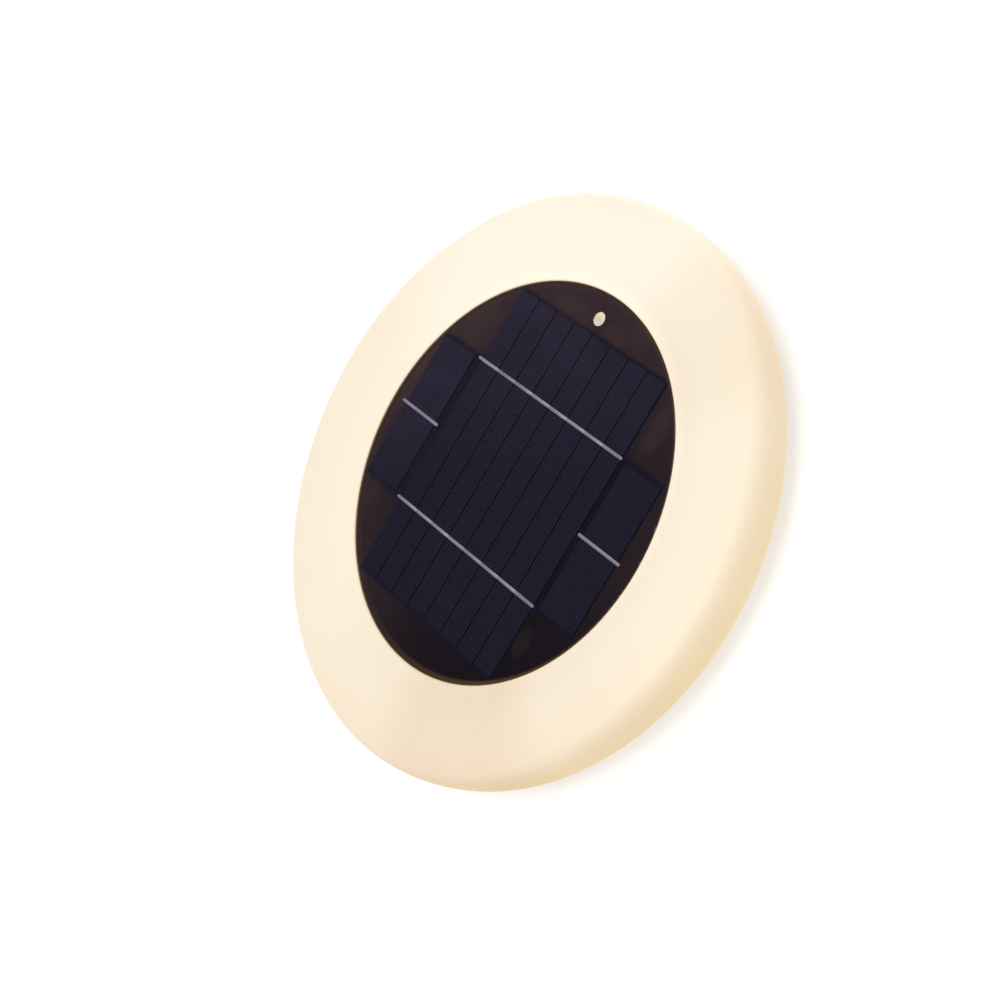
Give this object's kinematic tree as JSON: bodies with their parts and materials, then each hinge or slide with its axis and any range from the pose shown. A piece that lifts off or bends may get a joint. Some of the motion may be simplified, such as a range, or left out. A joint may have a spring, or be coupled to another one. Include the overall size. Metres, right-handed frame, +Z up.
{
  "type": "floating pool light",
  "caption": "Round floating solar lamp: a glowing rounded plastic ring around a flush solar panel, with a screwed bottom cover, push button and screw-capped charging port.",
  "frame": {"origin": "centre of the bounding box's bottom: on the disc's axis, on the surface that the feet stand on", "axes": "+Z up along the disc's axis, +X along the solar cell strips towards the receiver window, -Y towards the power button and charging port underneath"},
  "size_m": [0.29, 0.29, 0.041],
  "materials": {
    "glow_shell": "translucent polyethylene, lit from inside, soft satin skin",
    "clear_laminate": "clear, smooth and glossy",
    "silicon": "dark blue-violet anti-reflection coat with fine printed lines",
    "panel_backing": "dark brown solder mask",
    "ribbon": "tinned copper ribbon",
    "milky_window": "milky translucent polycarbonate",
    "rubber": "soft moulded rubber",
    "cover_plastic": "fine spark texture",
    "screw_steel": "stainless, machined",
    "chassis_plastic": "plain moulded",
    "circuit_board": "green solder mask",
    "led_strip": "white solder mask",
    "led_lens": "phosphor-filled silicone",
    "black_plastic": "moulded black plastic",
    "battery_sleeve": "shrink sleeve",
    "grey_plastic": "fine texture",
    "silicone": "soft silicone",
    "lead_red": "PVC insulation",
    "lead_black": "PVC insulation"
  },
  "bodies": {
    "housing": {"diffuser_shell": "glow_shell", "panel_laminate": "clear_laminate", "cell_strip_1": "silicon", "cell_strip_2": "silicon", "cell_strip_3": "silicon", "cell_strip_4": "silicon", "cell_strip_5": "silicon", "cell_strip_6": "silicon", "cell_strip_7": "silicon", "cell_strip_8": "silicon", "side_cell_rear": "silicon", "side_cell_front": "silicon", "panel_backing": "panel_backing", "ribbon_left": "ribbon", "ribbon_right": "ribbon", "side_ribbon_rear": "ribbon", "side_ribbon_front": "ribbon", "receiver_window": "milky_window", "panel_seal": "rubber", "cover_gasket": "rubber", "foot_1": "rubber", "foot_2": "rubber", "foot_3": "rubber", "foot_4": "rubber", "bottom_cover": "cover_plastic", "cover_screw_1": "screw_steel", "cover_screw_2": "screw_steel", "cover_screw_3": "screw_steel", "cover_screw_4": "screw_steel", "cover_screw_5": "screw_steel", "cover_screw_6": "screw_steel", "chassis_screw_1": "screw_steel", "chassis_screw_2": "screw_steel", "chassis_screw_3": "screw_steel", "chassis": "chassis_plastic", "control_board": "circuit_board", "led_strip": "led_strip", "led_1": "led_lens", "led_2": "led_lens", "led_3": "led_lens", "led_4": "led_lens", "led_5": "led_lens", "led_6": "led_lens", "led_7": "led_lens", "led_8": "led_lens", "ir_receiver": "black_plastic", "tact_switch": "black_plastic", "charging_jack": "black_plastic", "battery_cell_1": "battery_sleeve", "battery_cell_2": "battery_sleeve", "panel_lead_red": "lead_red", "battery_lead": "lead_red", "panel_lead_black": "lead_black", "led_lead": "lead_black", "receiver_lead": "lead_black"},
    "power_button": {"power_button": "silicone", "switch_plunger": "black_plastic"},
    "cap_seal": {"port_o_ring": "rubber"},
    "port_cap": {"port_cap": "grey_plastic"}
  },
  "joints": [
    {"name": "button_press", "type": "slide", "parent": "housing", "child": "power_button", "axis": [0, 0, 1], "range_m": [0, 0.0008], "stiffness_N_per_m": 1500, "springref_m": -0.0006},
    {"name": "cap_travel", "type": "slide", "parent": "housing", "child": "cap_seal", "axis": [0, 0, -1], "range_m": [0, 0.004]},
    {"name": "cap_turn", "type": "hinge", "parent": "cap_seal", "child": "port_cap", "pos_m": [-0.017, -0.045, 0.01], "axis": [0, 0, -1], "range_deg": [0, 720]}
  ],
  "couplings": [
    {"joint": "cap_travel", "follows": "cap_turn", "m_per_rad": 0.0003183}
  ]
}
